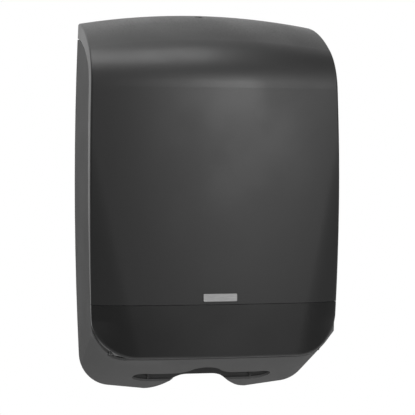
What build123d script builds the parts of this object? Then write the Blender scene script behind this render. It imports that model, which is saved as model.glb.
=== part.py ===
# Wall-hung dispenser for folded paper towels.
# Millimetres. X is right, the wall is the plane Y = 0, the front faces -Y, Z is up.
# Heights run from the middle of the back plate; "depth" values are distances in front of the wall.
import os
from math import atan2, cos, hypot, radians, sin, sqrt, tan

from build123d import *

os.makedirs("parts", exist_ok=True)

# Overall size
width = 260.0
height = 400.0
depth = 127.0

# Walls and the joint between cover and housing
wall = 2.5
wall_gap = 1.0
seam_gap = 1.0
flange = 15.0
edge_round = 2.5
inner_round = 1.5
crease_tolerance = 0.5

# Curves of the outline and of the cover
side_bow = 6.1
bow_rise = 15.0
bulge_radius = 735.0
front_lean = 1.5
shoulder_radius = 62.0
shoulder_turn = 56.0
top_turn = 84.8
cover_lift = 44.3
cover_corner = 39.0

# Overruns of the drawn curves, which are cut away again
path_overrun = 20.0
sweep_margin = 8.0
wall_overturn = 5.0
seam_overturn = 20.0

# Sloped lower face of the housing
foot_inset = 19.0
belly_slope = 6.3
belly_corner = 35.0
bend_inset_wall = 19.6
bend_inset_front = 22.4
ridge_slope = 52.0
fascia_drop = 1.6

# Arch between the feet and outlet mouth
arch_rise = 16.4
arch_flat_share = 0.235
mouth_inset = 55.5
mouth_back = 23.5
mouth_front_margin = 29.2
mouth_bump_share = 0.42
mouth_bump_spread = 0.425

# Wall screws
screw_inset_x = 55.0
screw_inset_z = 85.0
screw_hole = 5.5
boss_radius = 8.0
boss_height = 3.0

# Back plate ribs
rib_inset = 33.0
rib_thick = 2.0
rib_height = 4.0
rib_end = 10.0

# Lower panel and its lip
panel_height = 53.8
panel_gap = 0.5
lip_thick = 2.0
lip_overlap = 13.0
lip_fit = 0.1
stake_radius = 1.5
stake_head = 2.8
stake_inset = 38.0
stake_count = 5

# Nameplate
plate_length = 34.5
plate_height = 7.7
plate_thick = 1.2
plate_proud = 0.5
plate_round = 1.0
plate_fit = 0.2
plate_rise = 7.1

# Hinge at the lower corners
hinge_ahead = 1.7
hinge_rise = 7.3
knuckle_radius = 5.5
knuckle_width = 6.0
knuckle_inset = 25.0
knuckle_gap = 0.6
knuckle_arm = 9.0
bush_wall = 1.0
pin_radius = 2.5
pin_fit = 0.05
pin_grip = 3.6
block_radius = 4.2
block_width = 4.6
block_reach = 18.0
block_low = 14.0
block_high = 6.0
swing_gap = 0.8

# Towel tray, its screws and pillars
tray_rise = 62.0
tray_thick = 2.5
tray_side_gap = 1.2
tray_back_gap = 1.0
tray_front_gap = 3.0
tray_lip = 10.0
pillar_inset = 25.1
pillar_radius = 4.5
pillar_back = 20.0
pillar_front_inset = 11.8
tray_screw_radius = 1.65
tray_screw_head = 3.2
tray_screw_head_height = 2.2
tray_screw_length = 12.0
screw_clearance = 0.25
recess_width = 0.55

# Outlet throat
throat_wall = 2.0
throat_set_back = 1.0
throat_flange = 2.5
throat_flange_thick = 1.5
throat_fit = 0.3
throat_gap = 0.5
throat_rib_inset = 19.0
throat_rib_thick = 2.0
throat_rib_reach = 3.0

# Sliding towel guides
guide_side_gap = 2.1
guide_thick = 2.5
guide_height = 116.0
guide_back = 12.0
guide_front_gap = 3.8
guide_travel = 16.0
guide_foot = 17.0
guide_foot_thick = 1.4
guide_foot_share = 0.25
guide_round = 14.0
guide_lift = 0.1
peg_inset = 9.0
peg_radius = 2.5
peg_slack = 0.2
peg_share = 0.35
clip_radius = 4.5
clip_thick = 1.5
clip_gap = 0.4
peg_end = 1.2

# Lock in the top of the cover
lock_depth = 22.0
lock_seat_drop = 4.2
lock_floor = 4.5
lock_boss_wall = 2.8
lock_flange_radius = 9.8
lock_flange_thick = 1.2
lock_pocket_fit = 0.2
lock_radius = 8.0
lock_fit = 0.1
lock_length = 13.5
barrel_radius = 4.5
barrel_fit = 0.05
keyway_length = 5.5
keyway_width = 1.8
keyway_deep = 5.0
tang_half = 3.0
nut_flats = 22.0
nut_height = 4.0
cam_gap = 0.5
cam_thick = 2.0
cam_reach = 16.0
cam_half = 4.5
cam_hub_radius = 6.5
cam_screw_radius = 1.5
cam_screw_head = 3.6
cam_screw_head_height = 2.4
cam_screw_length = 8.0
cam_washer_radius = 5.1
cam_washer_thick = 0.8

# Keeper bracket for the lock cam
keeper_thick = 1.5
keeper_left = 9.0
keeper_right = 24.0
keeper_clear = 2.0
keeper_drop = 8.0
keeper_over = 4.0
keeper_plate = 20.0
keeper_pad = 5.0
keeper_pad_margin = 3.0
keeper_screw_radius = 1.5
keeper_screw_head = 2.9
keeper_screw_head_height = 1.9
keeper_screw_length = 6.0
keeper_screw_inset = 4.0

# Rubber buffers behind the closed cover
buffer_radius = 4.0
buffer_thick = 2.0
buffer_inset = 8.8
buffer_rise = 16.0
buffer_drop = 130.0
buffer_tab = 8.0
buffer_tab_thick = 2.5
buffer_gap = 0.4

# Heights that follow from the sizes above
top_z = height / 2
foot_z = -height / 2
cover_bottom = foot_z + cover_lift
joint_z = cover_bottom + panel_height
tray_top = foot_z + tray_rise
reach = depth + 2 * flange
far = width

# Side view of the cover front: a leaning line, a shoulder arc, then a top arc that meets the wall.
lean = radians(front_lean)
turn_1 = radians(shoulder_turn)
turn_2 = radians(top_turn)
arc_in = depth - shoulder_radius * (cos(lean) - cos(turn_1))
arc_cos = cos(turn_1) - cos(turn_2)
arc_sin = sin(turn_2) - sin(turn_1)
line_rise = top_z - cover_bottom - shoulder_radius * (sin(turn_1) - sin(lean))
front_line = (line_rise - arc_in * arc_sin / arc_cos) / (cos(lean) - sin(lean) * arc_sin / arc_cos)
top_radius = (arc_in - front_line * sin(lean)) / arc_cos
line_end_depth = depth - front_line * sin(lean)
line_end_z = cover_bottom + front_line * cos(lean)
shoulder_c = (line_end_depth - shoulder_radius * cos(lean), line_end_z - shoulder_radius * sin(lean))
top_c = (
    shoulder_c[0] - (top_radius - shoulder_radius) * cos(turn_1),
    shoulder_c[1] - (top_radius - shoulder_radius) * sin(turn_1),
)


def sag(x, radius=bulge_radius):
    """How far a curve of this radius falls back at x from its middle."""
    return radius - sqrt(radius**2 - x**2)


side_radius = ((top_z + bow_rise) ** 2 + side_bow**2) / (2 * side_bow)
seam_depth = sag(width / 2) + flange
housing_set_back = seam_depth + seam_gap


# Spans that follow the width
mouth_length = width - 2 * mouth_inset
foot_half = mouth_length / 2 - foot_inset
bend_half_wall = width / 2 - bend_inset_wall
bend_half_front = width / 2 - bend_inset_front
screw_span_x = width - 2 * screw_inset_x
screw_span_z = height - 2 * screw_inset_z
rib_half = screw_span_x / 2 - rib_inset
rib_length = screw_span_z + 2 * rib_end
stake_pitch = (width - 2 * stake_inset) / (stake_count - 1)


def half_width(z):
    """Half the width of the bowed outline at height z."""
    return width / 2 - sag(z - bow_rise, side_radius)


def front_depth(z, x=0.0):
    """Depth of the cover's outer face at height z on the leaning front."""
    return depth - (z - cover_bottom) * tan(lean) - sag(x)


def top_height(d):
    """Height of the cover's outer face above the top arc's centre line at depth d."""
    return top_c[1] + sqrt(top_radius**2 - (d - top_c[0]) ** 2)


def set_back(point):
    """Distance of a point behind the cover's middle line, seen from the side."""
    d = -point.Y
    angle = atan2(point.Z - shoulder_c[1], d - shoulder_c[0])
    if angle < lean:
        return (depth - d) * cos(lean) + (cover_bottom - point.Z) * sin(lean)
    if angle < turn_1:
        return shoulder_radius - hypot(d - shoulder_c[0], point.Z - shoulder_c[1])
    return top_radius - hypot(d - top_c[0], point.Z - top_c[1])


def side_lines(inset, overrun, past_wall):
    """Draw the side view of the cover front, moved back by inset, and return its two ends."""
    start_d = depth - inset * cos(lean) + overrun * sin(lean)
    start_z = cover_bottom - inset * sin(lean) - overrun * cos(lean)
    end_d = line_end_depth - inset * cos(lean)
    end_z = line_end_z - inset * sin(lean)
    Line((-start_d, start_z), (-end_d, end_z))
    CenterArc(
        (-shoulder_c[0], shoulder_c[1]),
        shoulder_radius - inset,
        180 - front_lean,
        front_lean - shoulder_turn,
    )
    CenterArc(
        (-top_c[0], top_c[1]),
        top_radius - inset,
        180 - shoulder_turn,
        shoulder_turn - top_turn - past_wall,
    )
    last = turn_2 + radians(past_wall)
    last_d = top_c[0] + (top_radius - inset) * cos(last)
    last_z = top_c[1] + (top_radius - inset) * sin(last)
    return (-start_d, start_z), (-last_d, last_z)


with BuildLine(Plane.YZ) as cover_side:
    side_lines(0.0, path_overrun, wall_overturn)
cover_path = cover_side.line
section_plane = Plane(origin=cover_path @ 0, x_dir=(1, 0, 0), z_dir=cover_path % 0)


def on_crease(point, inset):
    """True for a point on the edge between the bulged front and the rim of the cover's shape."""
    behind = set_back(point) - inset - sag(point.X, bulge_radius - inset)
    at_rim = abs(point.X) > width / 4 or point.Z < cover_bottom + inset + edge_round
    return abs(behind) < crease_tolerance and at_rim


def cover_form(inset, back):
    """Solid of the cover's bulged outer shape, moved in by inset and cut off at a set back."""
    half = width / 2 + sweep_margin
    fall = inset + sag(half, bulge_radius - inset)
    with BuildPart() as form:
        with BuildSketch(section_plane):
            with BuildLine():
                ThreePointArc((-half, fall), (0, inset), (half, fall))
                Polyline((half, fall), (half, back), (-half, back), (-half, fall))
            make_face()
        sweep(path=cover_path)
        with BuildSketch(Plane.XZ.offset(wall_gap)) as outline:
            with BuildLine():
                low = half_width(cover_bottom)
                high = half_width(top_z)
                Line((-low, cover_bottom), (low, cover_bottom))
                ThreePointArc((low, cover_bottom), (half_width(0), 0), (high, top_z))
                Polyline((high, top_z), (high, reach + top_z), (-high, reach + top_z), (-high, top_z))
                ThreePointArc((-high, top_z), (-half_width(0), 0), (-low, cover_bottom))
            make_face()
            fillet(outline.vertices().group_by(Axis.Y)[0], cover_corner)
            if inset > 0:
                offset(amount=-inset)
        extrude(amount=reach, mode=Mode.INTERSECT)
        crease = form.edges().filter_by(lambda e: on_crease(e @ 0.5, inset))
        fillet(crease, max(edge_round - inset, inner_round))
    return form.part


def fascia_section(at, inset):
    """Outline of everything above the sloped lower face, on a plane at this depth."""
    share = at / (depth - seam_depth)
    front_z = cover_bottom - fascia_drop
    bend_half = bend_half_wall + (bend_half_front - bend_half_wall) * share
    bend_wall_z = foot_z + (bend_half_wall - foot_half) * tan(radians(belly_slope))
    foot = (foot_half, foot_z + (front_z - foot_z) * share)
    bend = (bend_half, bend_wall_z + (front_z - bend_wall_z) * share)
    end = (far, bend[1] + (far - bend_half) * tan(radians(ridge_slope)))
    with BuildSketch(Plane.XZ.offset(at)) as section:
        with BuildLine():
            Polyline(
                (-foot[0], foot[1]),
                foot,
                bend,
                end,
                (far, height),
                (-far, height),
                (-end[0], end[1]),
                (-bend[0], bend[1]),
                (-foot[0], foot[1]),
            )
        make_face()
        bends = section.vertices().filter_by(lambda v: abs(abs(v.X) - bend_half) < 0.01)
        fillet(bends, belly_corner)
        if inset > 0:
            offset(amount=-inset)
    return section.sketch


def above_fascia(inset):
    """Solid above the sloped lower face, moved up by inset."""
    with BuildPart() as form:
        loft([fascia_section(-2 * wall, inset), fascia_section(reach, inset)], ruled=True)
    return form.part


def behind_seam(inset):
    """Solid between the wall and the cover's middle line moved back by inset."""
    with BuildPart() as form:
        with BuildSketch(Plane.YZ):
            with BuildLine():
                start, end = side_lines(inset, 2 * cover_lift, seam_overturn)
                Polyline(end, (end[0], start[1]), start)
            make_face()
        extrude(amount=far, both=True)
    return form.part


def housing_form(inset):
    """Solid of the housing's outer shape, moved in by inset."""
    corner_z = foot_z + (width / 2 - foot_half) * tan(radians(belly_slope))
    low = half_width(corner_z)
    high = half_width(top_z)
    above = above_fascia(inset)
    behind = behind_seam(housing_set_back)
    with BuildPart() as form:
        with BuildSketch(Plane.XZ.offset(inset)) as outline:
            with BuildLine():
                Polyline((-low, corner_z), (-foot_half, foot_z), (foot_half, foot_z), (low, corner_z))
                ThreePointArc((low, corner_z), (half_width(0), 0), (high, top_z))
                Line((high, top_z), (-high, top_z))
                ThreePointArc((-high, top_z), (-half_width(0), 0), (-low, corner_z))
            make_face()
            corners = outline.vertices().filter_by(lambda v: abs(v.Y - corner_z) < 0.01)
            fillet(corners, belly_corner)
            if inset > 0:
                offset(amount=-inset)
        extrude(amount=reach)
        add(above, mode=Mode.INTERSECT)
        if inset == 0:
            add(behind, mode=Mode.INTERSECT)
    return form.part


def between(solid, low, high):
    """The part of a solid between two heights."""
    with BuildPart() as kept:
        add(solid)
        with Locations((0, 0, (low + high) / 2)):
            Box(2 * far, 4 * reach, high - low, mode=Mode.INTERSECT)
    return kept.part


def s_curve(half, rise, base, flat=0.0):
    """Smooth bump between (-half, base) and (half, base), level as far as flat to each side."""
    if flat > 0:
        Line((-flat, base + rise), (flat, base + rise))
    for side in (-1, 1):
        fall = TangentArc(
            (side * flat, base + rise), (side * (flat + half) / 2, base + rise / 2), tangent=(side, 0)
        )
        TangentArc(fall @ 1, (side * half, base), tangent=fall % 1)


def mouth_outline(margin):
    """Plan of the outlet mouth, grown by margin: a slot with a bump in its front edge."""
    front = -(mouth_back + mouth_width)
    with BuildSketch() as plan:
        with Locations((0, front + mouth_width / 2)):
            SlotOverall(mouth_length, mouth_width)
        with BuildLine():
            s_curve(mouth_bump_half, -mouth_bump, front)
            Polyline(
                (mouth_bump_half, front),
                (mouth_bump_half, front + mouth_width / 2),
                (-mouth_bump_half, front + mouth_width / 2),
                (-mouth_bump_half, front),
            )
        make_face()
        if margin > 0:
            offset(amount=margin)
    return plan.sketch


def arch_form(margin):
    """Solid of the arch between the feet, raised by margin."""
    with BuildPart() as form:
        with BuildSketch(Plane.XZ.offset(-wall)):
            with BuildLine():
                s_curve(foot_half, arch_rise, foot_z + margin, arch_flat_share * foot_half)
                Polyline(
                    (foot_half, foot_z + margin),
                    (foot_half, foot_z - wall),
                    (-foot_half, foot_z - wall),
                    (-foot_half, foot_z + margin),
                )
            make_face()
        extrude(amount=mouth_back + wall + throat_wall)
    return form.part


# Positions shared by several pieces
tray_half = half_width(tray_top - tray_thick) - wall - tray_side_gap
tray_front = front_depth(tray_top) - housing_set_back - tray_front_gap
tray_back = wall + tray_back_gap
mouth_room = tray_front - mouth_front_margin - mouth_back
mouth_bump = mouth_room * mouth_bump_share
mouth_width = mouth_room - mouth_bump
mouth_bump_half = mouth_length / 2 * mouth_bump_spread
hinge_z = cover_bottom + hinge_rise
hinge_depth = front_depth(hinge_z) - seam_depth + hinge_ahead
hinge_plane = Plane(origin=(0, -hinge_depth, hinge_z), x_dir=(0, 1, 0), z_dir=(1, 0, 0))
knuckle_half = half_width(hinge_z) - knuckle_inset
knuckle_in = knuckle_half - knuckle_width / 2
knuckle_out = knuckle_half + knuckle_width / 2
ear_in = knuckle_out + knuckle_gap
pin_end = ear_in + pin_grip
block_out = ear_in + block_width
bush_radius = pin_radius + pin_fit + bush_wall
buffer_half = width / 2 - buffer_inset
buffer_low = joint_z + buffer_rise
buffer_high = top_z - buffer_drop
rim_depth = {z: front_depth(z) - housing_set_back for z in (buffer_low, buffer_high)}
buffer_spots = [(x, z) for x in (-buffer_half, buffer_half) for z in (buffer_low, buffer_high)]
pillar_half = tray_half - pillar_inset
pillar_front = tray_front - pillar_front_inset
pillar_spots = [(x, -d) for x in (-pillar_half, pillar_half) for d in (pillar_back, pillar_front)]
wall_spots = [
    (x, z) for x in (-screw_span_x / 2, screw_span_x / 2) for z in (-screw_span_z / 2, screw_span_z / 2)
]
plate_z = joint_z + plate_rise
plate_plane = Plane(
    origin=(0, -front_depth(plate_z), plate_z),
    x_dir=(1, 0, 0),
    z_dir=(0, -cos(lean), sin(lean)),
)
stake_spread = stake_pitch * (stake_count - 1) / 2
stake_spots = [
    (i * stake_pitch - stake_spread, joint_z - lip_overlap / 2) for i in range(stake_count)
]
lock_pocket = lock_flange_radius + lock_pocket_fit
lock_seat = top_height(lock_depth) - lock_seat_drop
lock_boss_under = lock_seat - lock_floor
lock_end = lock_seat - lock_length
cam_top = lock_end - cam_gap
keeper_front = lock_depth + cam_half + keeper_clear
keeper_arm_z = cam_top - cam_thick - keeper_drop
keeper_base = wall + keeper_pad
keeper_middle = (keeper_left + keeper_right) / 2
keeper_screw_spots = [
    (x, keeper_arm_z - keeper_plate + keeper_screw_inset + keeper_screw_head)
    for x in (keeper_left + keeper_screw_inset, keeper_right - keeper_screw_inset)
]
guide_outer = tray_half - guide_side_gap
guide_front = tray_front - guide_front_gap
guide_length = guide_front - guide_back
guide_middle = (guide_back + guide_front) / 2
guide_foot_length = guide_length * (1 - 2 * guide_foot_share)
peg_half = guide_outer - peg_inset
peg_back = guide_back + guide_length * peg_share
peg_front = guide_front - guide_length * peg_share
throat_rib_half = mouth_length / 2 - throat_rib_inset

# Housing: back plate, side walls and the sloped lower face
housing_outer = housing_form(0.0)
housing_inner = housing_form(wall)
housing_room = behind_seam(housing_set_back)
arch = arch_form(0.0)
mouth = mouth_outline(0.0)

with BuildPart() as back_housing:
    add(housing_outer)
    add(housing_inner, mode=Mode.SUBTRACT)
    with BuildSketch(Plane.XZ.offset(wall)):
        with Locations(wall_spots):
            Circle(boss_radius)
    extrude(amount=boss_height)
    with BuildSketch(Plane.XZ.offset(wall)):
        with Locations((-rib_half, 0), (rib_half, 0)):
            Rectangle(rib_thick, rib_length)
    extrude(amount=rib_height)
    with BuildSketch(Plane.XZ.offset(wall)):
        with Locations((keeper_middle, keeper_arm_z - keeper_plate / 2)):
            Rectangle(
                keeper_right - keeper_left + 2 * keeper_pad_margin,
                keeper_plate + 2 * keeper_pad_margin,
            )
    extrude(amount=keeper_pad)
    with BuildSketch(Plane.XY.offset(tray_top - tray_thick)):
        with Locations(pillar_spots):
            Circle(pillar_radius)
    extrude(amount=-(tray_top - tray_thick - foot_z))
    add(housing_outer, mode=Mode.INTERSECT)
    for x, z in buffer_spots:
        with BuildSketch(Plane.XZ.offset(rim_depth[z] - buffer_thick)):
            with Locations((x, z)):
                Rectangle(buffer_tab, buffer_tab)
            with Locations((x + buffer_tab * x / abs(x) / 2, z)):
                Rectangle(2 * (half_width(z) - abs(x) - buffer_tab / 2 - wall / 2), buffer_tab)
        extrude(amount=-buffer_tab_thick)
    for side in (-1, 1):
        with BuildSketch(hinge_plane.offset(side * (knuckle_in - knuckle_gap))):
            Circle(knuckle_radius + knuckle_gap)
        extrude(amount=side * (block_out - knuckle_in + 2 * knuckle_gap), mode=Mode.SUBTRACT)
    with BuildSketch(hinge_plane):
        with Locations((hinge_rise + swing_gap - reach / 2, -cover_lift / 2)):
            Rectangle(reach, cover_lift)
    extrude(amount=block_out + knuckle_gap, both=True, mode=Mode.SUBTRACT)
    with BuildSketch(Plane.XY.offset(tray_top - tray_thick)):
        add(mouth)
    extrude(amount=-tray_rise, mode=Mode.SUBTRACT)
    add(arch, mode=Mode.SUBTRACT)
    with BuildSketch(Plane.XZ.offset(-wall_gap)):
        with Locations(wall_spots):
            Circle(screw_hole / 2)
    extrude(amount=reach, mode=Mode.SUBTRACT)
    with BuildSketch(Plane.XY.offset(tray_top - tray_thick)):
        with Locations(pillar_spots):
            Circle(tray_screw_radius)
    extrude(amount=-(tray_screw_length - tray_thick), mode=Mode.SUBTRACT)
    with BuildSketch(Plane.XZ.offset(keeper_base)):
        with Locations(keeper_screw_spots):
            Circle(keeper_screw_radius)
    extrude(amount=-(keeper_screw_length - keeper_thick), mode=Mode.SUBTRACT)
back_housing.part.label = "back_housing"
export_step(back_housing.part, "parts/back_housing.step")

# Cover: one bulged shell, parted at the joint line into the upper cover and the lower panel
cover_outer = cover_form(0.0, seam_depth)
cover_inner = cover_form(wall, seam_depth + flange)
lip_outer = cover_form(wall + lip_fit, seam_depth)
lip_inner = cover_form(wall + lip_thick, seam_depth + flange)

upper_block = between(cover_outer, joint_z + panel_gap / 2, height)
upper_hollow = between(cover_inner, joint_z + lip_overlap, height)
band_hollow = between(lip_inner, joint_z - 2 * lip_overlap, joint_z + 2 * lip_overlap)
lip_band = between(lip_outer, joint_z - lip_overlap, joint_z + lip_overlap / 2)
lower_block = between(cover_outer, -height, joint_z - panel_gap / 2)

with BuildPart() as front_cover:
    add(upper_block)
    add(upper_hollow, mode=Mode.SUBTRACT)
    add(lip_band)
    add(band_hollow, mode=Mode.SUBTRACT)
    with BuildSketch(Plane.XY.offset(lock_boss_under)):
        with Locations((0, -lock_depth)):
            Circle(lock_pocket + lock_boss_wall)
    extrude(amount=height)
    for x, z in buffer_spots:
        with BuildSketch(Plane.XZ.offset(rim_depth[z])):
            with Locations((x, z)):
                Circle(buffer_radius)
        extrude(amount=front_depth(z, x) - rim_depth[z])
    add(cover_outer, mode=Mode.INTERSECT)
    with BuildSketch(Plane.XY.offset(lock_seat)):
        with Locations((0, -lock_depth)):
            Circle(lock_pocket)
    extrude(amount=height, mode=Mode.SUBTRACT)
    with BuildSketch(Plane.XY.offset(lock_seat)):
        with Locations((0, -lock_depth)):
            Circle(lock_radius + lock_fit)
    extrude(amount=-2 * lock_floor, mode=Mode.SUBTRACT)
    with BuildSketch(plate_plane.offset(plate_proud - plate_thick)):
        RectangleRounded(plate_length + 2 * plate_fit, plate_height + 2 * plate_fit, plate_round)
    extrude(amount=wall, mode=Mode.SUBTRACT)
    with BuildSketch(Plane.XZ):
        with Locations(stake_spots):
            Circle(stake_radius + lip_fit)
    extrude(amount=reach, mode=Mode.SUBTRACT)
front_cover.part.label = "front_cover"
export_step(front_cover.part, "parts/front_cover.step")

with BuildPart() as lower_panel:
    add(lower_block)
    add(cover_inner, mode=Mode.SUBTRACT)
    for x, z in stake_spots:
        slope = abs(x) / bulge_radius
        lip_back = front_depth(z, x) - (wall + lip_thick) * (1 + slope) - stake_head * slope - lip_fit
        with BuildSketch(Plane.XZ.offset(lip_back)):
            with Locations((x, z)):
                Circle(stake_radius)
        extrude(amount=lip_thick + wall)
        with BuildSketch(Plane.XZ.offset(lip_back)):
            with Locations((x, z)):
                Circle(stake_head)
        extrude(amount=-stake_radius)
    for side in (-1, 1):
        with BuildSketch(hinge_plane.offset(side * knuckle_in)):
            Circle(knuckle_radius)
            with Locations((-knuckle_arm / 2, knuckle_arm / 2)):
                Rectangle(knuckle_arm, knuckle_arm)
        extrude(amount=side * knuckle_width)
        with BuildSketch(hinge_plane.offset(side * knuckle_in)):
            Circle(bush_radius)
        extrude(amount=side * knuckle_width, mode=Mode.SUBTRACT)
        with BuildSketch(hinge_plane.offset(side * (ear_in - knuckle_gap))):
            with Locations((flange / 2 - block_radius - swing_gap, block_radius + swing_gap - flange / 2)):
                Rectangle(flange, flange)
        extrude(amount=side * (block_width + 2 * knuckle_gap), mode=Mode.SUBTRACT)
lower_panel.part.label = "lower_panel"
export_step(lower_panel.part, "parts/lower_panel.step")

with BuildPart() as name_plate:
    with BuildSketch(plate_plane.offset(plate_proud - plate_thick)):
        RectangleRounded(plate_length, plate_height, plate_round)
    extrude(amount=plate_thick)
name_plate.part.label = "name_plate"
export_step(name_plate.part, "parts/name_plate.step")

# Hinge: a block in each lower corner of the housing with a stub pin, and a bearing sleeve
# in each knuckle of the lower panel
with BuildPart() as hinge_block_left:
    with BuildSketch(hinge_plane.offset(-ear_in)):
        with Locations((block_reach / 2 + seam_gap, (block_high - block_low) / 2)):
            Rectangle(block_reach, block_high + block_low)
        with Locations((hinge_rise + swing_gap - reach / 2, -block_radius - cover_lift / 2)):
            Rectangle(reach, cover_lift, mode=Mode.SUBTRACT)
    extrude(amount=-block_width)
    add(housing_inner, mode=Mode.INTERSECT)
    add(housing_room, mode=Mode.INTERSECT)
    with BuildSketch(hinge_plane.offset(-ear_in)):
        Circle(knuckle_radius)
        with Locations((hinge_ahead + knuckle_gap + knuckle_radius / 2, knuckle_radius / 2)):
            Rectangle(knuckle_radius, knuckle_radius, mode=Mode.INTERSECT)
        Circle(block_radius)
    extrude(amount=-block_width)
    with BuildSketch(hinge_plane.offset(-ear_in)):
        Circle(pin_radius)
    extrude(amount=-pin_grip, mode=Mode.SUBTRACT)
hinge_block_left.part.label = "hinge_block_left"
export_step(hinge_block_left.part, "parts/hinge_block_left.step")

with BuildPart() as hinge_block_right:
    mirror(hinge_block_left.part, about=Plane.YZ)
hinge_block_right.part.label = "hinge_block_right"
export_step(hinge_block_right.part, "parts/hinge_block_right.step")

with BuildPart() as hinge_pin_left:
    with BuildSketch(hinge_plane.offset(-knuckle_in)):
        Circle(pin_radius)
    extrude(amount=knuckle_in - pin_end)
hinge_pin_left.part.label = "hinge_pin_left"
export_step(hinge_pin_left.part, "parts/hinge_pin_left.step")

with BuildPart() as hinge_pin_right:
    mirror(hinge_pin_left.part, about=Plane.YZ)
hinge_pin_right.part.label = "hinge_pin_right"
export_step(hinge_pin_right.part, "parts/hinge_pin_right.step")

with BuildPart() as hinge_bush_left:
    with BuildSketch(hinge_plane.offset(-knuckle_in)):
        Circle(bush_radius)
        Circle(pin_radius + pin_fit, mode=Mode.SUBTRACT)
    extrude(amount=-knuckle_width)
hinge_bush_left.part.label = "hinge_bush_left"
export_step(hinge_bush_left.part, "parts/hinge_bush_left.step")

with BuildPart() as hinge_bush_right:
    mirror(hinge_bush_left.part, about=Plane.YZ)
hinge_bush_right.part.label = "hinge_bush_right"
export_step(hinge_bush_right.part, "parts/hinge_bush_right.step")

# Tray that carries the towels, with an opening for the throat and slots for the guides
throat_hole = mouth_outline(throat_set_back + throat_wall + throat_fit)
throat_outer = mouth_outline(throat_set_back + throat_wall)
throat_inner = mouth_outline(throat_set_back)
throat_brim = mouth_outline(throat_set_back + throat_wall + throat_flange)
throat_room = above_fascia(wall + throat_gap)
throat_arch = arch_form(throat_gap)
tray_room = above_fascia(wall + tray_side_gap)

with BuildPart() as towel_tray:
    with BuildSketch(Plane.XY.offset(tray_top)):
        with Locations((0, -(tray_back + tray_front) / 2)):
            Rectangle(2 * tray_half, tray_front - tray_back)
        add(throat_hole, mode=Mode.SUBTRACT)
        with Locations(pillar_spots):
            Circle(tray_screw_radius + screw_clearance, mode=Mode.SUBTRACT)
        for side in (-1, 1):
            with Locations(
                (side * (peg_half - guide_travel / 2), -peg_back),
                (side * (peg_half - guide_travel / 2), -peg_front),
            ):
                SlotOverall(
                    guide_travel + 2 * peg_radius + 2 * peg_slack,
                    2 * peg_radius + 2 * peg_slack,
                    mode=Mode.SUBTRACT,
                )
    extrude(amount=-tray_thick)
    with BuildSketch(Plane.XY.offset(tray_top)):
        with Locations((0, -tray_front + tray_thick / 2)):
            Rectangle(2 * tray_half, tray_thick)
    extrude(amount=tray_lip)
    add(tray_room, mode=Mode.INTERSECT)
towel_tray.part.label = "towel_tray"
export_step(towel_tray.part, "parts/towel_tray.step")

with BuildPart() as tray_screws:
    with BuildSketch(Plane.XY.offset(tray_top)):
        with Locations(pillar_spots):
            Circle(tray_screw_radius)
    extrude(amount=-tray_screw_length)
    with BuildSketch(Plane.XY.offset(tray_top)):
        with Locations(pillar_spots):
            Circle(tray_screw_head)
    extrude(amount=tray_screw_head_height)
    rims = tray_screws.edges().filter_by(GeomType.CIRCLE).group_by(Axis.Z)[-1]
    fillet(rims, tray_screw_head_height / 2)
    with BuildSketch(Plane.XY.offset(tray_top + tray_screw_head_height)):
        with Locations(pillar_spots):
            Rectangle(2 * tray_screw_radius, recess_width)
            Rectangle(recess_width, 2 * tray_screw_radius)
    extrude(amount=-tray_screw_head_height / 2, mode=Mode.SUBTRACT)
tray_screws.part.label = "tray_screws"
export_step(tray_screws.part, "parts/tray_screws.step")

# Throat between the tray and the outlet mouth
with BuildPart() as outlet_throat:
    with BuildSketch(Plane.XY.offset(tray_top)):
        add(throat_outer)
        add(throat_inner, mode=Mode.SUBTRACT)
        with Locations(
            (-throat_rib_half, -mouth_back - throat_rib_reach / 2 + throat_set_back),
            (throat_rib_half, -mouth_back - throat_rib_reach / 2 + throat_set_back),
        ):
            Rectangle(throat_rib_thick, throat_rib_reach + throat_wall)
    extrude(amount=-tray_rise)
    add(throat_room, mode=Mode.INTERSECT)
    add(throat_arch, mode=Mode.SUBTRACT)
    with BuildSketch(Plane.XY.offset(tray_top)):
        add(throat_brim)
        add(throat_inner, mode=Mode.SUBTRACT)
    extrude(amount=throat_flange_thick)
outlet_throat.part.label = "outlet_throat"
export_step(outlet_throat.part, "parts/outlet_throat.step")

# Side guides that slide on the tray, with pegs through its slots and clips underneath
peg_spots = [(-peg_half, -peg_back), (-peg_half, -peg_front)]

with BuildPart() as towel_guide_left:
    with BuildSketch(Plane.YZ.offset(-guide_outer)) as blade:
        with Locations((-guide_middle, tray_top + guide_lift + guide_height / 2)):
            Rectangle(guide_length, guide_height)
        fillet(blade.vertices().group_by(Axis.Y)[-1], guide_round)
    extrude(amount=guide_thick)
    with BuildSketch(Plane.XY.offset(tray_top + guide_lift)):
        with Locations((-guide_outer + guide_foot / 2, -guide_middle)):
            Rectangle(guide_foot, guide_foot_length)
    extrude(amount=guide_foot_thick)
    with BuildSketch(Plane.XY.offset(tray_top + guide_lift)):
        with Locations(peg_spots):
            Circle(peg_radius)
    extrude(amount=-(tray_thick + guide_lift + clip_gap + clip_thick + peg_end))
towel_guide_left.part.label = "towel_guide_left"
export_step(towel_guide_left.part, "parts/towel_guide_left.step")

with BuildPart() as towel_guide_right:
    mirror(towel_guide_left.part, about=Plane.YZ)
towel_guide_right.part.label = "towel_guide_right"
export_step(towel_guide_right.part, "parts/towel_guide_right.step")

with BuildPart() as guide_clips_left:
    with BuildSketch(Plane.XY.offset(tray_top - tray_thick - clip_gap)):
        with Locations(peg_spots):
            Circle(clip_radius)
            Circle(peg_radius, mode=Mode.SUBTRACT)
    extrude(amount=-clip_thick)
guide_clips_left.part.label = "guide_clips_left"
export_step(guide_clips_left.part, "parts/guide_clips_left.step")

with BuildPart() as guide_clips_right:
    mirror(guide_clips_left.part, about=Plane.YZ)
guide_clips_right.part.label = "guide_clips_right"
export_step(guide_clips_right.part, "parts/guide_clips_right.step")

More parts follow.
